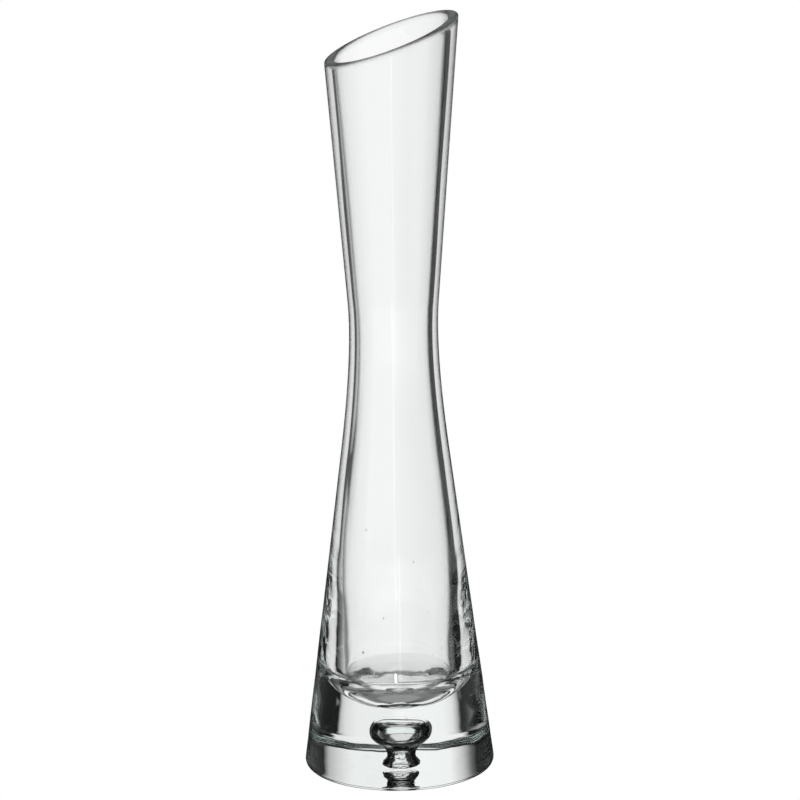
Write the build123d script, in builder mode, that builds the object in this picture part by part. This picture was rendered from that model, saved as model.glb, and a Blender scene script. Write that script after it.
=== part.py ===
from build123d import *

import math
import os

os.makedirs("parts", exist_ok=True)

# A hand-worked glass bud vase: a slender hourglass with a slanted rim, a blown
# chamber inside, and a heavy solid foot that holds one trapped air bubble.
# Millimetres. Z is the vase's axis, Z = 0 is the table, and the rim is highest at +X.

# Outside form: two straight cones that run into each other through a smooth waist
height = 240.0  # table to the highest point of the rim
base_radius = 29.85  # where the lower cone would meet the table
lower_taper = 0.1275  # radius lost per millimetre of height below the waist
upper_taper = 0.079  # radius gained per millimetre of height above the waist
rim_radius = 21.2  # outer radius level with the highest point of the rim
waist_start = 102.0  # height where the lower cone begins to turn into the waist
waist_end = 150.0  # height where the waist has become the upper cone
base_rounding = 2.2  # rounding of the foot's bottom edge

# Rim: one slanted cut through the upper cone, with softened edges
rim_tilt = 19.8  # degrees, up towards +X
rim_rounding = 0.7
rim_allowance = 0.4  # height that the rounding takes off the sharp corner of the cut
blank_top = 255.0  # height of the upper cone before it is cut

# Inside of the blown vessel
rim_bore_radius = 18.05  # inner radius level with the highest point of the rim
neck_bore_radius = 11.2  # inner radius at waist_end
waist_bore_control = 9.8  # pulls the inner wall in where the neck is narrowest
shoulder_bore_radius = 13.35  # inner radius at waist_start
chamber_radius = 17.3  # widest part of the chamber
chamber_top = 57.0  # the chamber's wall is upright below this height
chamber_bowl_z = 33.0  # centre height of the rounded chamber floor
chamber_floor_z = 20.0  # lowest point of the chamber

# Second gather of glass, which cases the blown vessel and makes the foot
casing_height = 64.0  # top edge of the foot's collar around the vessel
vessel_wall = 3.0  # wall of the blown vessel inside the foot
vessel_floor = 2.5  # glass of the blown vessel under the chamber floor

# Air bubble trapped in the foot: a domed cap on a waisted stem
bubble_top_z = 16.4
bubble_fullness = 0.78  # how boxy the bubble's two ends are, against 0.55 for an ellipse
bubble_radius = 6.4
bubble_equator_z = 11.8
bubble_neck_radius = 2.9
bubble_neck_z = 4.6
bubble_skirt_radius = 3.8
bubble_skirt_z = 1.9
bubble_bottom_z = 0.5

waist_control_z = (base_radius - rim_radius + upper_taper * height) / (lower_taper + upper_taper)
waist_control_radius = base_radius - lower_taper * waist_control_z
bore_taper = (rim_bore_radius - neck_bore_radius) / (height - waist_end)
chamber_control_z = chamber_top + (waist_start - chamber_top) * 0.3
seat_radius = chamber_radius + vessel_wall
seat_floor_z = chamber_floor_z - vessel_floor


def quarter_ellipse(radius, equator_z, pole_z, handle=0.5523):
    """Round end of a turned outline: from the axis at pole_z out to radius at equator_z.
    The handle is the share of each half-axis that bends a cubic curve; 0.5523 makes an ellipse."""
    Bezier(
        (0, pole_z),
        (handle * radius, pole_z),
        (radius, equator_z + handle * (pole_z - equator_z)),
        (radius, equator_z),
    )


def lower_cone_radius(z):
    """Outer radius of the lower cone at height z."""
    return base_radius - lower_taper * z


def upper_cone_radius(z):
    """Outer radius of the upper cone at height z."""
    return rim_radius - upper_taper * (height - z)


# First gather: blown, with a round-bottomed chamber, a narrow waist and a flared top
with BuildPart() as blown_vessel:
    with BuildSketch(Plane.XZ):
        with BuildLine():
            # bore, from the chamber floor up to the top of the blank
            quarter_ellipse(chamber_radius, chamber_bowl_z, chamber_floor_z)
            Line((chamber_radius, chamber_bowl_z), (chamber_radius, chamber_top))
            Bezier(
                (chamber_radius, chamber_top),
                (chamber_radius, chamber_control_z),
                (shoulder_bore_radius, waist_start),
            )
            Bezier(
                (shoulder_bore_radius, waist_start),
                (waist_bore_control, waist_control_z),
                (neck_bore_radius, waist_end),
            )
            blank_bore_radius = neck_bore_radius + bore_taper * (blank_top - waist_end)
            Line((neck_bore_radius, waist_end), (blank_bore_radius, blank_top))
            # top of the blank and outside wall, down to the foot's collar
            Polyline(
                (blank_bore_radius, blank_top),
                (upper_cone_radius(blank_top), blank_top),
                (upper_cone_radius(waist_end), waist_end),
            )
            Bezier(
                (upper_cone_radius(waist_end), waist_end),
                (waist_control_radius, waist_control_z),
                (lower_cone_radius(waist_start), waist_start),
            )
            Polyline(
                (lower_cone_radius(waist_start), waist_start),
                (lower_cone_radius(casing_height), casing_height),
                (seat_radius, casing_height),
                (seat_radius, chamber_bowl_z),
            )
            # rounded underside that sits in the foot
            quarter_ellipse(seat_radius, chamber_bowl_z, seat_floor_z)
            Line((0, seat_floor_z), (0, chamber_floor_z))
        make_face()
    revolve(axis=Axis.Z)
    # slanted rim
    tilt = math.radians(rim_tilt)
    rim_plane = Plane(
        origin=(rim_radius, 0, height + rim_allowance),
        x_dir=(math.cos(tilt), 0, math.sin(tilt)),
        z_dir=(-math.sin(tilt), 0, math.cos(tilt)),
    )
    split(bisect_by=rim_plane, keep=Keep.BOTTOM)
    rim_face = blown_vessel.faces().filter_by(rim_plane).sort_by(Axis.Z)[-1]
    fillet(rim_face.edges(), radius=rim_rounding)

# Second gather: a solid foot whose top is a cup that the vessel is fused into
with BuildPart() as solid_foot:
    with BuildSketch(Plane.XZ):
        with BuildLine():
            Polyline(
                (0, seat_floor_z),
                (0, 0),
                (base_radius, 0),
                (lower_cone_radius(casing_height), casing_height),
                (seat_radius, casing_height),
                (seat_radius, chamber_bowl_z),
            )
            quarter_ellipse(seat_radius, chamber_bowl_z, seat_floor_z)
        make_face()
    revolve(axis=Axis.Z)
    fillet(solid_foot.edges().group_by(Axis.Z)[0], radius=base_rounding)
    # trapped bubble
    with BuildSketch(Plane.XZ):
        with BuildLine():
            quarter_ellipse(bubble_radius, bubble_equator_z, bubble_top_z, bubble_fullness)
            bubble_middle_z = (bubble_equator_z + bubble_neck_z) / 2
            Bezier(
                (bubble_radius, bubble_equator_z),
                (bubble_radius, bubble_middle_z),
                (bubble_neck_radius, bubble_middle_z),
                (bubble_neck_radius, bubble_neck_z),
            )
            skirt_middle_z = (bubble_neck_z + bubble_skirt_z) / 2
            Bezier(
                (bubble_neck_radius, bubble_neck_z),
                (bubble_neck_radius, skirt_middle_z),
                (bubble_skirt_radius, skirt_middle_z),
                (bubble_skirt_radius, bubble_skirt_z),
            )
            quarter_ellipse(bubble_skirt_radius, bubble_skirt_z, bubble_bottom_z, bubble_fullness)
            Line((0, bubble_bottom_z), (0, bubble_top_z))
        make_face()
    revolve(axis=Axis.Z, mode=Mode.SUBTRACT)

for piece, name in [(blown_vessel, "blown_vessel"), (solid_foot, "solid_foot")]:
    piece.part.label = name
    export_step(piece.part, f"parts/{name}.step")
    print(name, round(piece.part.volume / 1000, 2), "cm3", piece.part.bounding_box())
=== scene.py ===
# Looks of the glass bud vase: one seamless mesh of clear glass, in a studio of light and dark zones

import math

import bpy
from mathutils import Matrix, Vector, noise


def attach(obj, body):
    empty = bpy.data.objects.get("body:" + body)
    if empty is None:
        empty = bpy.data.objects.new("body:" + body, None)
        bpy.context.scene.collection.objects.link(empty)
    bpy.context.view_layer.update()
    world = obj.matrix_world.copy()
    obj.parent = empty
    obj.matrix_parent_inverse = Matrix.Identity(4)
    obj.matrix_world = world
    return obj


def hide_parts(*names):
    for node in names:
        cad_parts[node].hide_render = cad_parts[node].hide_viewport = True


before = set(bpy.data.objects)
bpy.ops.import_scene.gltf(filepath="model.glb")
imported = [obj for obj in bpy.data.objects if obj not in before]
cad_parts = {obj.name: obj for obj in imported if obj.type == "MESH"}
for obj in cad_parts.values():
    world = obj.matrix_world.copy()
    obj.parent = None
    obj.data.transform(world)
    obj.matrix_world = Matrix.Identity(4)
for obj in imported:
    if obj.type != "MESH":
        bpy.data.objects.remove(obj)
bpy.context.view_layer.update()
scene = bpy.context.scene

MM = 0.001

# Outside form, the same driving dimensions as the CAD part (millimetres)
HEIGHT = 240.0
BASE_RADIUS = 29.85
LOWER_TAPER = 0.1275
UPPER_TAPER = 0.079
RIM_RADIUS = 21.2
WAIST_START = 102.0
WAIST_END = 150.0
BASE_ROUNDING = 2.2
RIM_TILT = math.radians(19.8)
RIM_ROUNDING = 0.7
RIM_ALLOWANCE = 0.4

# Inside of the vessel
RIM_BORE_RADIUS = 18.05
NECK_BORE_RADIUS = 11.2
WAIST_BORE_CONTROL = 9.8
SHOULDER_BORE_RADIUS = 13.35
CHAMBER_RADIUS = 17.3
CHAMBER_TOP = 57.0
CHAMBER_BOWL_Z = 33.0
CHAMBER_FLOOR_Z = 20.0

# Trapped bubble
BUBBLE_TOP_Z = 16.4
BUBBLE_FULLNESS = 0.78
BUBBLE_RADIUS = 6.4
BUBBLE_EQUATOR_Z = 11.8
BUBBLE_NECK_RADIUS = 2.9
BUBBLE_NECK_Z = 4.6
BUBBLE_SKIRT_RADIUS = 3.8
BUBBLE_SKIRT_Z = 1.9
BUBBLE_BOTTOM_Z = 0.5

WAIST_CONTROL_Z = (BASE_RADIUS - RIM_RADIUS + UPPER_TAPER * HEIGHT) / (LOWER_TAPER + UPPER_TAPER)
WAIST_CONTROL_RADIUS = BASE_RADIUS - LOWER_TAPER * WAIST_CONTROL_Z
BORE_TAPER = (RIM_BORE_RADIUS - NECK_BORE_RADIUS) / (HEIGHT - WAIST_END)
CHAMBER_CONTROL_Z = CHAMBER_TOP + (WAIST_START - CHAMBER_TOP) * 0.3

BUBBLE_OFFSET = 0.3  # the bubble sits slightly off the axis

AROUND = 288  # steps round the vase
BUBBLE_AROUND = 96
SEED_AROUND = 12
SEED_COUNT = 16
PONTIL_RADIUS = 13  # inside this radius the underside ripples most
GOLDEN_ANGLE = math.pi * (3 - math.sqrt(5))
ELLIPSE_HANDLE = 0.5523  # share of each half-axis that makes a cubic curve follow an ellipse

# Glass
GLASS_IOR = 1.5
CLEAR = (0.99, 0.995, 0.993, 1)
# painted shade: the colour the polished glass takes where it is seen edge-on, which draws its dark outlines
PAINTED_EDGE_SHADE = (0.06, 0.068, 0.066, 1)  # drawn on the polished glass where it is seen edge-on
# painted shade: the nearly black colour drawn on the bubble's wall where it is seen at an angle
PAINTED_BUBBLE_SHADE = (0.01, 0.012, 0.012, 1)
ABSORPTION_COLOUR = (0.80, 0.92, 0.88, 1)
ABSORPTION_DENSITY = 4.0
GROUND_ROUGHNESS = 0.6
WORN_ROUGHNESS = 0.2
# the largest share of painted shade on the bubble's wall
BUBBLE_PAINTED_SHADE_SHARE = 0.93  # most that the bubble's wall is darkened


# ---- outlines: lists of (radius, height) in millimetres ----

def straight(start, end, steps):
    """Points from start to end, without the start."""
    return [Vector(start).lerp(Vector(end), k / steps) for k in range(1, steps + 1)]


def curve(points, steps):
    """Points along a Bezier curve of any degree, without its start."""
    made = []
    for k in range(1, steps + 1):
        level = [Vector(p) for p in points]
        while len(level) > 1:
            level = [a.lerp(b, k / steps) for a, b in zip(level, level[1:])]
        made.append(level[0])
    return made


def quarter_ellipse(start, end, steps, from_pole, handle=ELLIPSE_HANDLE):
    """A quarter ellipse between a pole on the axis and the widest point, boxier with a longer handle."""
    (r0, z0), (r1, z1) = start, end
    if from_pole:
        handles = [(handle * r1, z0), (r1, z1 + handle * (z0 - z1))]
    else:
        handles = [(r0, z0 + handle * (z1 - z0)), (handle * r0, z1)]
    return curve([start, *handles, end], steps)


def rounded_corner(before, corner, after, radius, steps):
    """An arc that rounds off a corner, from its first tangent point to its last."""
    before, corner, after = Vector(before), Vector(corner), Vector(after)
    to_before = (before - corner).normalized()
    to_after = (after - corner).normalized()
    half = to_before.angle(to_after) / 2
    centre = corner + (to_before + to_after).normalized() * radius / math.sin(half)
    first = corner + to_before * radius / math.tan(half) - centre
    last = corner + to_after * radius / math.tan(half) - centre
    turn = math.copysign(math.pi - 2 * half, first.cross(last))
    return [centre + Matrix.Rotation(turn * k / steps, 2) @ first for k in range(steps + 1)]


def outer_radius(z):
    """Outer radius of the two straight cones at height z."""
    if z < WAIST_CONTROL_Z:
        return BASE_RADIUS - LOWER_TAPER * z
    return RIM_RADIUS - UPPER_TAPER * (HEIGHT - z)


def rim_corner(angle, radius, taper):
    """Where the slanted cut meets a cone of the given radius at HEIGHT, on the side at that angle."""
    slope = math.cos(angle) * math.tan(RIM_TILT)
    middle = HEIGHT + RIM_ALLOWANCE - RIM_RADIUS * math.tan(RIM_TILT)
    z = (middle + slope * (radius - taper * HEIGHT)) / (1 - slope * taper)
    return radius - taper * (HEIGHT - z), z


def glass_section(angle):
    """The wall's outline at one angle, from the centre of the underside, over the rim, to the chamber
    floor. Returns the points and how far each is ground."""
    base_turn = rounded_corner(
        (0, 0), (BASE_RADIUS, 0), (outer_radius(WAIST_START), WAIST_START), BASE_ROUNDING, 8
    )
    lower_end = (outer_radius(WAIST_START), WAIST_START)
    upper_start = (outer_radius(WAIST_END), WAIST_END)
    neck_end = (NECK_BORE_RADIUS, WAIST_END)
    outside = rim_corner(angle, RIM_RADIUS, UPPER_TAPER)
    inside = rim_corner(angle, RIM_BORE_RADIUS, BORE_TAPER)
    outer_turn = rounded_corner(upper_start, outside, inside, RIM_ROUNDING, 6)
    inner_turn = rounded_corner(outside, inside, neck_end, RIM_ROUNDING, 6)
    points = [Vector((0, 0))]
    points += straight((0, 0), base_turn[0], 110)
    points += base_turn[1:]
    points += straight(base_turn[-1], lower_end, 150)
    points += curve([lower_end, (WAIST_CONTROL_RADIUS, WAIST_CONTROL_Z), upper_start], 36)
    points += straight(upper_start, outer_turn[0], 48)
    polished_below = len(points)
    points += outer_turn[1:]
    points += straight(outer_turn[-1], inner_turn[0], 4)
    points += inner_turn[1:]
    polished_above = len(points)
    points += straight(inner_turn[-1], neck_end, 48)
    shoulder = (SHOULDER_BORE_RADIUS, WAIST_START)
    points += curve([neck_end, (WAIST_BORE_CONTROL, WAIST_CONTROL_Z), shoulder], 36)
    chamber = (CHAMBER_RADIUS, CHAMBER_TOP)
    points += curve([shoulder, (CHAMBER_RADIUS, CHAMBER_CONTROL_Z), chamber], 28)
    bowl = (CHAMBER_RADIUS, CHAMBER_BOWL_Z)
    points += straight(chamber, bowl, 16)
    points += quarter_ellipse(bowl, (0, CHAMBER_FLOOR_Z), 32, from_pole=False)
    ground = [float(polished_below <= k < polished_above) for k in range(len(points))]
    return hand_blown(points, angle, polished_above), ground


def bubble_section():
    """The bubble's outline, from its top down to its underside."""
    middle = (BUBBLE_EQUATOR_Z + BUBBLE_NECK_Z) / 2
    skirt_middle = (BUBBLE_NECK_Z + BUBBLE_SKIRT_Z) / 2
    equator = (BUBBLE_RADIUS, BUBBLE_EQUATOR_Z)
    neck = (BUBBLE_NECK_RADIUS, BUBBLE_NECK_Z)
    skirt = (BUBBLE_SKIRT_RADIUS, BUBBLE_SKIRT_Z)
    points = [Vector((0, BUBBLE_TOP_Z))]
    points += quarter_ellipse((0, BUBBLE_TOP_Z), equator, 28, from_pole=True, handle=BUBBLE_FULLNESS)
    points += curve([equator, (BUBBLE_RADIUS, middle), (BUBBLE_NECK_RADIUS, middle), neck], 24)
    points += curve(
        [neck, (BUBBLE_NECK_RADIUS, skirt_middle), (BUBBLE_SKIRT_RADIUS, skirt_middle), skirt], 12
    )
    points += quarter_ellipse(skirt, (0, BUBBLE_BOTTOM_Z), 18, from_pole=False, handle=BUBBLE_FULLNESS)
    return points


def seed_section(k):
    """Outline of a seed, a tiny gas bubble drawn out a little along the wall, from its top down."""
    radius = 0.12 + 0.04 * (k * 7 % 5)
    turns = [math.pi * j / 7 for j in range(8)]
    return [Vector((radius * math.sin(t), 1.6 * radius * math.cos(t))) for t in turns]


def seed_place(k):
    """Where seed k sits: all round, in the thick glass beside the chamber and in the upper foot."""
    angle = k * GOLDEN_ANGLE
    z = 12 + 66 * (k + 0.5) / SEED_COUNT
    bore = CHAMBER_RADIUS if z < CHAMBER_TOP else SHOULDER_BORE_RADIUS + 2
    r = bore + (outer_radius(z) - bore) * (0.45 + 0.12 * (k % 4))
    return r * math.cos(angle), r * math.sin(angle), z


# ---- mesh ----

class Shell:
    """Collects turned surfaces into one mesh."""

    def __init__(self):
        self.points, self.faces, self.ground, self.slots = [], [], [], []

    def turn(self, sections, ground, centre=(0, 0, 0), slot=0):
        """Joins sections, one per angle round the axis through centre, that all start and end on it."""
        start, around, along = len(self.points), len(sections), len(sections[0])
        cx, cy, cz = centre
        self.points.append((cx, cy, cz + sections[0][0].y))
        self.ground.append(ground[0])
        for k in range(1, along - 1):
            for a, section in enumerate(sections):
                angle = 2 * math.pi * a / around
                r, z = section[k]
                self.points.append((cx + r * math.cos(angle), cy + r * math.sin(angle), cz + z))
                self.ground.append(ground[k])
        self.points.append((cx, cy, cz + sections[0][-1].y))
        self.ground.append(ground[-1])
        last = len(self.points) - 1

        def at(k, a):
            return start + 1 + (k - 1) * around + a % around

        for a in range(around):
            self.faces.append((start, at(1, a + 1), at(1, a)))
            for k in range(1, along - 2):
                self.faces.append((at(k, a), at(k, a + 1), at(k + 1, a + 1), at(k + 1, a)))
            self.faces.append((at(along - 2, a), at(along - 2, a + 1), last))
        self.slots += [slot] * (len(self.faces) - len(self.slots))


def swell(place, wavelengths, seed):
    """Smooth noise between about -1 and 1, with its own wavelength along each axis (millimetres)."""
    return noise.noise(Vector([p / w + seed for p, w in zip(place, wavelengths)]))


def hand_blown(section, angle, bore_start):
    """One section with the small unevenness of hand-worked glass, which bends what is seen through it."""
    made = []
    for k, (r, z) in enumerate(section):
        place = (r * math.cos(angle), r * math.sin(angle), z)
        if k >= bore_start:
            side = min(1.0, max(0.0, (z - CHAMBER_FLOOR_Z - 4) / 10))
            r += side * 0.09 * swell(place, (14, 14, 60), 3.1)
            r += side ** 3 * 0.012 * swell(place, (2.6, 2.6, 50), 8.4)
            ripple = 0.10 * swell(place, (5, 5, 5), 1.7) + 0.03 * swell(place, (2.4, 2.4, 2.4), 5.2)
            z += (1 - side) * ripple
        elif z > 0.01:
            foot = min(1.0, max(0.0, (75 - z) / 40))
            r += 0.06 * swell(place, (20, 20, 55), 6.3) + 0.006 * swell(place, (2.2, 2.2, 45), 2.9)
            r += foot * (0.09 * swell(place, (8, 8, 10), 4.6) + 0.012 * swell(place, (2.6, 2.6, 3.2), 7.7))
        elif r < BASE_RADIUS - BASE_ROUNDING:
            inward = min(1.0, (BASE_RADIUS - BASE_ROUNDING - r) / 3)
            pontil = max(0.0, 1 - (r / PONTIL_RADIUS) ** 2)
            ripple = (0.02 + 0.08 * pontil) * swell(place, (2.4, 9, 1), 9.2)
            ripple += (0.005 + 0.012 * pontil) * swell(place, (1.1, 3, 1), 0.6)
            z += inward * (0.06 + ripple)
        made.append(Vector((max(0.0, r), z)))
    made[0].x = made[-1].x = 0.0
    return made


def wobbled(section, angle):
    """The bubble's outline at one angle, slightly out of round and torn at its foot."""
    made = []
    for r, z in section:
        place = (r * math.cos(angle), r * math.sin(angle), z)
        torn = min(1.0, max(0.0, (2.8 - z) / 1.2))
        share = 0.02 * swell(place, (5, 5, 5), 6.6) + 0.008 * swell(place, (1.6, 1.6, 1.2), 2.2)
        share += torn * 0.09 * swell(place, (1.1, 1.1, 0.7), 4.4)
        made.append(Vector((r * (1 + share), z)))
    return made


def make_glass():
    """The whole vase as one closed mesh, with the bubble as an inner shell."""
    shell = Shell()
    sections = [glass_section(2 * math.pi * a / AROUND) for a in range(AROUND)]
    shell.turn([s[0] for s in sections], sections[0][1])
    bubble = bubble_section()
    uneven = [wobbled(bubble, 2 * math.pi * a / BUBBLE_AROUND) for a in range(BUBBLE_AROUND)]
    shell.turn(uneven, [0.0] * len(bubble), centre=(BUBBLE_OFFSET, 0, 0), slot=1)
    for k in range(SEED_COUNT):
        seed = seed_section(k)
        shell.turn([seed] * SEED_AROUND, [0.0] * len(seed), centre=seed_place(k))
    mesh = bpy.data.meshes.new("vase_glass")
    mesh.from_pydata([Vector(p) * MM for p in shell.points], [], shell.faces)
    mesh.polygons.foreach_set("use_smooth", [True] * len(mesh.polygons))
    mesh.materials.append(glass_material())
    mesh.materials.append(bubble_material())
    mesh.polygons.foreach_set("material_index", shell.slots)
    layer = mesh.attributes.new("ground", "FLOAT", "POINT")
    layer.data.foreach_set("value", shell.ground)
    mesh.update()
    glass = bpy.data.objects.new("vase_glass", mesh)
    scene.collection.objects.link(glass)
    return glass


# ---- materials ----

def add_node(tree, kind, **values):
    """A node with some of its properties set."""
    node = tree.nodes.new(kind)
    for name, value in values.items():
        setattr(node, name, value)
    return node


def math_node(tree, operation, *inputs, clamp=False):
    """The output of a Math node whose inputs are sockets or numbers."""
    node = add_node(tree, "ShaderNodeMath", operation=operation, use_clamp=clamp)
    for socket, value in zip(node.inputs, inputs):
        if isinstance(value, (int, float)):
            socket.default_value = value
        else:
            tree.links.new(value, socket)
    return node.outputs[0]


def step_between(tree, value, low, high):
    """0 where value is under low, 1 where it is over high, and smooth between."""
    node = add_node(tree, "ShaderNodeMapRange", interpolation_type="SMOOTHSTEP")
    tree.links.new(value, node.inputs["Value"])
    node.inputs["From Min"].default_value = low
    node.inputs["From Max"].default_value = high
    return node.outputs["Result"]


def zones(tree, angle, stops):
    """Brightness by azimuth, as a colour ramp round the vase."""
    share = math_node(tree, "MULTIPLY_ADD", angle, 0.5 / math.pi, 0.5)
    ramp = add_node(tree, "ShaderNodeValToRGB")
    elements = ramp.color_ramp.elements
    while len(elements) < len(stops):
        elements.new(1.0)
    for element, (degrees, level) in zip(elements, stops):
        element.position = (degrees + 180) / 360
        element.color = (level, level, level, 1)
    tree.links.new(share, ramp.inputs["Fac"])
    return ramp.outputs["Color"]


def mixed(tree, share, first, second):
    """first where share is 0, second where it is 1."""
    node = add_node(tree, "ShaderNodeMix", data_type="RGBA")
    tree.links.new(share, node.inputs["Factor"])
    for socket, value in ((node.inputs["A"], first), (node.inputs["B"], second)):
        if isinstance(value, tuple):
            socket.default_value = value
        else:
            tree.links.new(value, socket)
    return node.outputs["Result"]


def new_material(name):
    """An empty node material: its tree and its output node."""
    material = bpy.data.materials.new(name)
    material.use_nodes = True
    material.node_tree.nodes.clear()
    return material, material.node_tree, material.node_tree.nodes.new("ShaderNodeOutputMaterial")


def absorb(tree, out):
    """The faint grey-green that the glass takes on with depth."""
    tint = add_node(tree, "ShaderNodeVolumeAbsorption")
    tint.inputs["Color"].default_value = ABSORPTION_COLOUR
    tint.inputs["Density"].default_value = ABSORPTION_DENSITY
    tree.links.new(tint.outputs["Volume"], out.inputs["Volume"])


def glass_material():
    """Clear glass, satin where the rim was ground, with painted shade where the polished glass is seen
    edge-on.
    """
    material, tree, out = new_material("clear_glass")
    nodes, links = tree.nodes, tree.links
    shader = nodes.new("ShaderNodeBsdfPrincipled")
    shader.inputs["Transmission Weight"].default_value = 1.0
    shader.inputs["IOR"].default_value = GLASS_IOR
    ground = nodes.new("ShaderNodeAttribute")
    ground.attribute_name = "ground"
    # painted shade: the polished glass's colour is drawn darker where it is seen edge-on, which outlines
    # the wall
    facing = nodes.new("ShaderNodeLayerWeight")
    facing.inputs["Blend"].default_value = 0.5
    edge = step_between(tree, facing.outputs["Facing"], 0.5, 0.84)
    polished = math_node(tree, "SUBTRACT", 1.0, ground.outputs["Fac"])
    edge = math_node(tree, "MULTIPLY", edge, polished)
    links.new(mixed(tree, edge, CLEAR, PAINTED_EDGE_SHADE), shader.inputs["Base Color"])
    # fine wipe marks and scratches, fading out by 85 mm above the table
    place = nodes.new("ShaderNodeTexCoord")
    height = add_node(tree, "ShaderNodeSeparateXYZ")
    links.new(place.outputs["Object"], height.inputs[0])
    stretched = add_node(tree, "ShaderNodeMapping")
    stretched.inputs["Scale"].default_value = (110, 110, 150)
    stretched.inputs["Rotation"].default_value = (0.5, 0.2, 0)
    links.new(place.outputs["Object"], stretched.inputs["Vector"])
    marks = add_node(tree, "ShaderNodeTexNoise")
    marks.inputs["Scale"].default_value = 1.0
    marks.inputs["Detail"].default_value = 7.0
    marks.inputs["Distortion"].default_value = 2.0
    links.new(stretched.outputs["Vector"], marks.inputs["Vector"])
    low = step_between(tree, height.outputs["Z"], 0.085, 0.035)
    worn = math_node(tree, "MULTIPLY", step_between(tree, marks.outputs["Fac"], 0.64, 0.7), low)
    worn = math_node(tree, "MULTIPLY", worn, math_node(tree, "SUBTRACT", 1.0, edge))
    rough = math_node(tree, "MULTIPLY", worn, WORN_ROUGHNESS)
    rough = math_node(tree, "MULTIPLY_ADD", ground.outputs["Fac"], GROUND_ROUGHNESS, rough)
    links.new(rough, shader.inputs["Roughness"])
    links.new(shader.outputs["BSDF"], out.inputs["Surface"])
    absorb(tree, out)
    return material


def bubble_material():
    """The wall of the trapped bubble: clear glass seen face-on, with painted shade, nearly black, where it
    is seen at an angle.
    """
    material, tree, out = new_material("bubble_wall_painted_shade")
    clear = add_node(tree, "ShaderNodeBsdfPrincipled")
    clear.inputs["Base Color"].default_value = CLEAR
    clear.inputs["Transmission Weight"].default_value = 1.0
    clear.inputs["IOR"].default_value = GLASS_IOR
    clear.inputs["Roughness"].default_value = 0.0
    # a dark diffuse shader that paints shade on the bubble's wall
    dark = add_node(tree, "ShaderNodeBsdfDiffuse")
    dark.inputs["Color"].default_value = PAINTED_BUBBLE_SHADE
    facing = add_node(tree, "ShaderNodeLayerWeight")
    facing.inputs["Blend"].default_value = 0.5
    # painted shade: level parts of the wall, such as its top, stay clear until they are seen nearly edge-on
    geometry = add_node(tree, "ShaderNodeNewGeometry")
    normal = add_node(tree, "ShaderNodeSeparateXYZ")
    tree.links.new(geometry.outputs["Normal"], normal.inputs[0])
    upward = math_node(tree, "ABSOLUTE", normal.outputs["Z"])
    side = step_between(tree, upward, 0.85, 0.6)
    # painted shade where the wall is seen at an angle, and where it is seen edge-on
    angled = step_between(tree, facing.outputs["Facing"], 0.22, 0.34)
    edge_on = step_between(tree, facing.outputs["Facing"], 0.88, 0.96)
    share = math_node(tree, "MULTIPLY", angled, side)
    share = math_node(tree, "MAXIMUM", share, edge_on)
    share = math_node(tree, "MULTIPLY", share, BUBBLE_PAINTED_SHADE_SHARE)
    mix = add_node(tree, "ShaderNodeMixShader")
    tree.links.new(share, mix.inputs["Fac"])
    tree.links.new(clear.outputs["BSDF"], mix.inputs[1])
    tree.links.new(dark.outputs["BSDF"], mix.inputs[2])
    tree.links.new(mix.outputs["Shader"], out.inputs["Surface"])
    absorb(tree, out)
    return material


# ---- studio ----

# Brightness of the studio round the vase, as bands of height above the horizon. Each band is a list of
# (azimuth in degrees, brightness): 0 is straight behind the vase, positive to +X, 180 is the front.
# A white wall stands behind, with black surfaces beside it that draw the glass's dark lines. The levels
# suit the photograph's view: they were first typed from a scratch table of the photograph's brightness
# in each direction, and then changed by eye.
BLACK = 0.003
# the white wall behind
BACK = [(-24, 0.97), (-14, 0.98), (-3, 1.01), (0, 1.01), (5, 0.93), (14, 0.93), (22, 0.92)]
STRAIGHT_DOWN = [(-180, 0.3), (180, 0.3)]
UNDER = [(-180, 0.3), (-100, 0.18), (-14, 0.18), (-10, 0.1), (-6, 0.85), (6, 0.85), (11, 0.1),
         (26, 0.1), (34, 0.18), (100, 0.2), (180, 0.3)]
STEEPEST = [(-180, 0.3), (-100, 0.15), (-70, 0.1), (-50, 0.25), (-20, 0.25), (-11, 0.88), (11, 0.88),
            (20, 0.25), (50, 0.2), (80, 0.12), (180, 0.3)]
STEEP = [(-180, 0.4), (-100, 0.3), (-82, 0.12), (-62, 0.2), (-50, 0.3), (-42, 0.3), (-38, 0.55),
         (-31, 0.8), *BACK, (28, 0.7), (36, 0.3), (60, 0.1), (100, 0.15), (104, 0.8), (166, 0.8),
         (180, 0.4)]
FOOT = [(-180, 0.4), (-104, 0.3), (-95, BLACK), (-60, BLACK), (-50, 0.02), (-43, 0.02), (-40, BLACK),
        (-38, 0.4), (-31, 0.8), *BACK, (31, 0.75), (38.5, 0.6), (40, BLACK), (100, BLACK), (104, 0.8),
        (166, 0.8), (180, 0.4)]
CHAMBER = [(-180, 0.4), (-104, 0.3), (-95, 0.35), (-75, 0.7), (-64, 0.5), (-54, 0.2), (-48, 0.1),
           (-43, 0.03), (-37, 0.01), (-34, 0.5), (-30, 0.85), *BACK, (30, 0.8), (34, 0.6), (36, BLACK),
           (56, BLACK), (62, 0.1), (80, 0.4), (100, 0.2), (104, 0.8), (166, 0.8), (180, 0.4)]
WAIST = [(-180, 1), (-104, 0.7), (-90, 0.3), (-80, 0.5), (-60, 0.6), (-50, 0.4), (-44, 0.25),
         (-40, 0.08), (-34, 0.03), (-31, 0.6), *BACK, (29, 0.7), (33, BLACK), (54, BLACK), (62, 0.06),
         (75, 0.2), (100, 0.4), (104, 0.8), (166, 0.8), (180, 0.6)]
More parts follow.
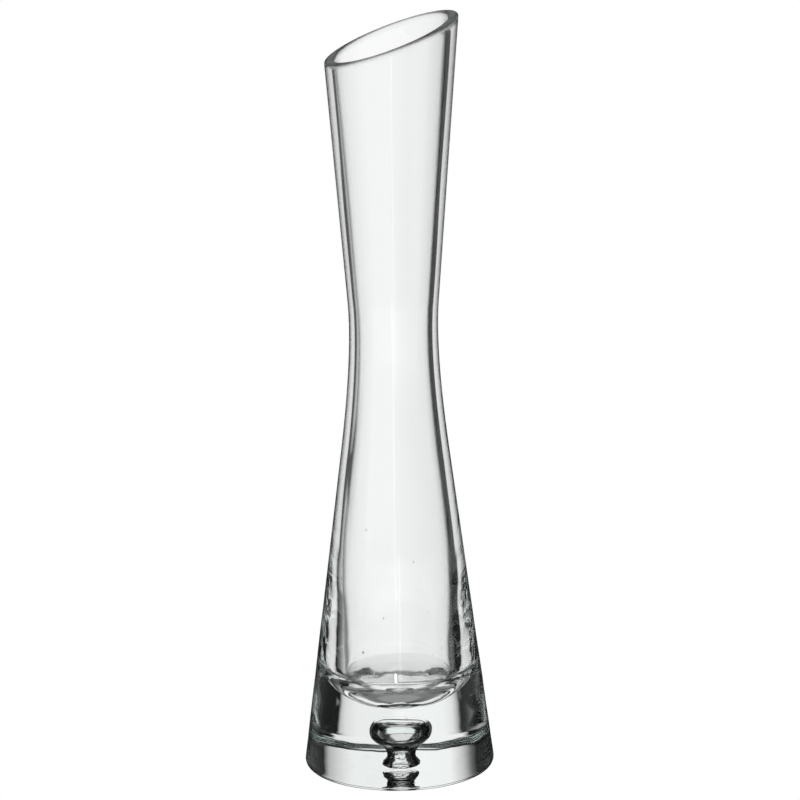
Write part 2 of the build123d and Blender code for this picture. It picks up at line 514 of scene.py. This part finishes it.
UPPER = [(-180, 1), (-125, 0.7), (-95, 0.52), (-80, 0.5), (-60, 0.55), (-50, 0.4), (-45, 0.02),
         (-38, BLACK), (-35, 0.7), *BACK, (34, 0.8), (37, BLACK), (52, BLACK), (58, 0.1), (100, 0.2),
         (104, 0.8), (166, 0.8), (180, 0.6)]
HORIZON = [(-180, 0.3), (-135, 0.25), (-121, 0.55), (-86, 0.5), (-78, 0.1), (-58, 0.1), (-45, BLACK),
           (-36, BLACK), (-31, 0.95), *BACK, (31, 0.85), (34, BLACK), (48, BLACK), (60, 0.1),
           (100, 0.1), (120, 0.5), (180, 0.3)]
ABOVE = [(-180, 0.1), (-160, BLACK), (-46, BLACK), (-40, 0.15), (-33, 0.6), *BACK, (33, 0.66),
         (39, 0.5), (45, BLACK), (100, BLACK), (104, 0.6), (166, 0.6), (170, 0.1), (180, 0.1)]
HIGH = [(-180, 0.1), (-30, BLACK), (-20, 0.07), (20, 0.07), (30, BLACK), (180, 0.1)]
CEILING = [(-180, 0.2), (-120, 0.05), (-45, BLACK), (-24, 0.1), (-18, 0.8), (20, 0.8), (28, 0.1),
           (45, BLACK), (100, 0.1), (180, 0.1)]
OVERHEAD = [(-180, 0.2), (-100, 0.05), (0, 0.15), (30, 0.4), (45, 0.05), (180, 0.2)]
ZENITH = [(-180, 0.6), (180, 0.6)]

# The bands from bottom to top, each with the degrees over which it takes over from the band below
BANDS = [
    (STRAIGHT_DOWN, -90, -90),
    (UNDER, -68, -62),
    (STEEPEST, -52, -48),
    (STEEP, -43, -40),
    (FOOT, -34, -32),
    (CHAMBER, -30, -29),
    (WAIST, -28, -24),
    (UPPER, -20, -18),
    (HORIZON, -12.5, -11),
    (ABOVE, 2, 5),
    (HIGH, 22, 23.5),
    (CEILING, 29, 33),
    (OVERHEAD, 47, 50),
    (ZENITH, 68, 76),
]

MIRRORED_LEVEL = (0.03, 0.03, 0.03, 1)  # what light mirrored off the outside mostly sees

# Narrow lights in front of the vase: azimuth, half-width, softness (degrees), lowest and highest
# elevation, brightness
FRONT_LIGHTS = [(176, 1.2, 1.5, -40, -8, 1.5)]


def light_level(tree, angle, height, azimuth, half, soft, low, high, level):
    """Brightness that one narrow front light adds."""
    off = math_node(tree, "ABSOLUTE", math_node(tree, "SUBTRACT", angle, math.radians(azimuth)))
    near = math_node(tree, "SUBTRACT", math.radians(half + soft), off)
    shown = step_between(tree, near, 0.0, math.radians(soft))
    for edge, sign in ((low, 1), (high, -1)):
        above = math_node(tree, "SUBTRACT", height, math.sin(math.radians(edge)))
        inside = math_node(tree, "MULTIPLY", above, sign)
        shown = math_node(tree, "MULTIPLY", shown, step_between(tree, inside, 0.0, 0.05))
    return math_node(tree, "MULTIPLY", shown, level)


def make_world():
    """The studio: plain white to the camera, and zones of light and dark for what the glass bends."""
    world = bpy.data.worlds.new("studio")
    scene.world = world
    world.use_nodes = True
    tree = world.node_tree
    tree.nodes.clear()
    place = add_node(tree, "ShaderNodeTexCoord")
    split = add_node(tree, "ShaderNodeSeparateXYZ")
    tree.links.new(place.outputs["Generated"], split.inputs[0])
    angle = math_node(tree, "ARCTAN2", split.outputs["X"], split.outputs["Y"])
    height = split.outputs["Z"]
    level = zones(tree, angle, BANDS[0][0])
    for stops, low, high in BANDS[1:]:
        share = step_between(tree, height, math.sin(math.radians(low)), math.sin(math.radians(high)))
        level = mixed(tree, share, level, zones(tree, angle, stops))
    for light in FRONT_LIGHTS:
        level = math_node(tree, "ADD", level, light_level(tree, angle, height, *light))
    path = add_node(tree, "ShaderNodeLightPath")
    # unlike in a real studio, light mirrored off the outside hardly sees the zones, which leaves the
    # silhouette dark
    behind = step_between(tree, math_node(tree, "ABSOLUTE", angle), math.radians(60), math.radians(40))
    glossy, bent = path.outputs["Is Glossy Ray"], path.outputs["Is Transmission Ray"]
    mirrored = math_node(tree, "SUBTRACT", glossy, bent, clamp=True)
    share = math_node(tree, "MULTIPLY_ADD", behind, 0.1, 0.9)
    hidden = math_node(tree, "MULTIPLY", share, mirrored)
    level = mixed(tree, hidden, level, MIRRORED_LEVEL)
    seen = mixed(tree, path.outputs["Is Camera Ray"], level, (1, 1, 1, 1))
    background = add_node(tree, "ShaderNodeBackground")
    out = add_node(tree, "ShaderNodeOutputWorld")
    tree.links.new(seen, background.inputs["Color"])
    tree.links.new(background.outputs[0], out.inputs["Surface"])


def make_floor():
    """A pale table top. The camera sees it plain white; the light that the glass bends comes through it."""
    size = 3.0
    mesh = bpy.data.meshes.new("table_top")
    corners = [(-size, -size, 0), (size, -size, 0), (size, size, 0), (-size, size, 0)]
    mesh.from_pydata(corners, [], [(0, 1, 2, 3)])
    floor = bpy.data.objects.new("table_top", mesh)
    floor.location.z = -0.0001
    scene.collection.objects.link(floor)
    material, tree, out = new_material("table_top")
    path = add_node(tree, "ShaderNodeLightPath")
    plain = add_node(tree, "ShaderNodeEmission")
    plain.inputs["Color"].default_value = (1, 1, 1, 1)
    mix = add_node(tree, "ShaderNodeMixShader")
    tree.links.new(path.outputs["Is Camera Ray"], mix.inputs["Fac"])
    tree.links.new(add_node(tree, "ShaderNodeBsdfTransparent").outputs[0], mix.inputs[1])
    tree.links.new(plain.outputs[0], mix.inputs[2])
    tree.links.new(mix.outputs["Shader"], out.inputs["Surface"])
    mesh.materials.append(material)


def make_camera():
    """The photograph's view: a long lens, 2 m away and 15 degrees above, rolled slightly."""
    elevation, distance, roll = math.radians(15.33), 2.0, math.radians(0.834)
    lens, sensor = 290.7, 36.0
    aim = Vector((0, 0, HEIGHT / 2 * MM))
    back = Vector((0, -math.cos(elevation), math.sin(elevation)))
    camera = bpy.data.objects.new("camera", bpy.data.cameras.new("camera"))
    camera.data.lens = lens
    camera.data.sensor_width = sensor
    camera.data.clip_start = 0.05
    camera.data.clip_end = 50
    camera.location = aim + back * distance
    turned = back.to_track_quat("Z", "Y").to_matrix().to_4x4() @ Matrix.Rotation(-roll, 4, "Z")
    camera.rotation_euler = turned.to_euler()
    camera.data.shift_x = 0.0069
    camera.data.shift_y = -0.0070
    scene.collection.objects.link(camera)
    scene.camera = camera


def main():
    scene.view_settings.view_transform = "Standard"
    scene.cycles.max_bounces = 32
    scene.cycles.transmission_bounces = 28
    scene.cycles.glossy_bounces = 24
    glass = make_glass()
    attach(glass, "root")
    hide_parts("blown_vessel", "solid_foot")
    make_world()
    make_floor()
    make_camera()


main()
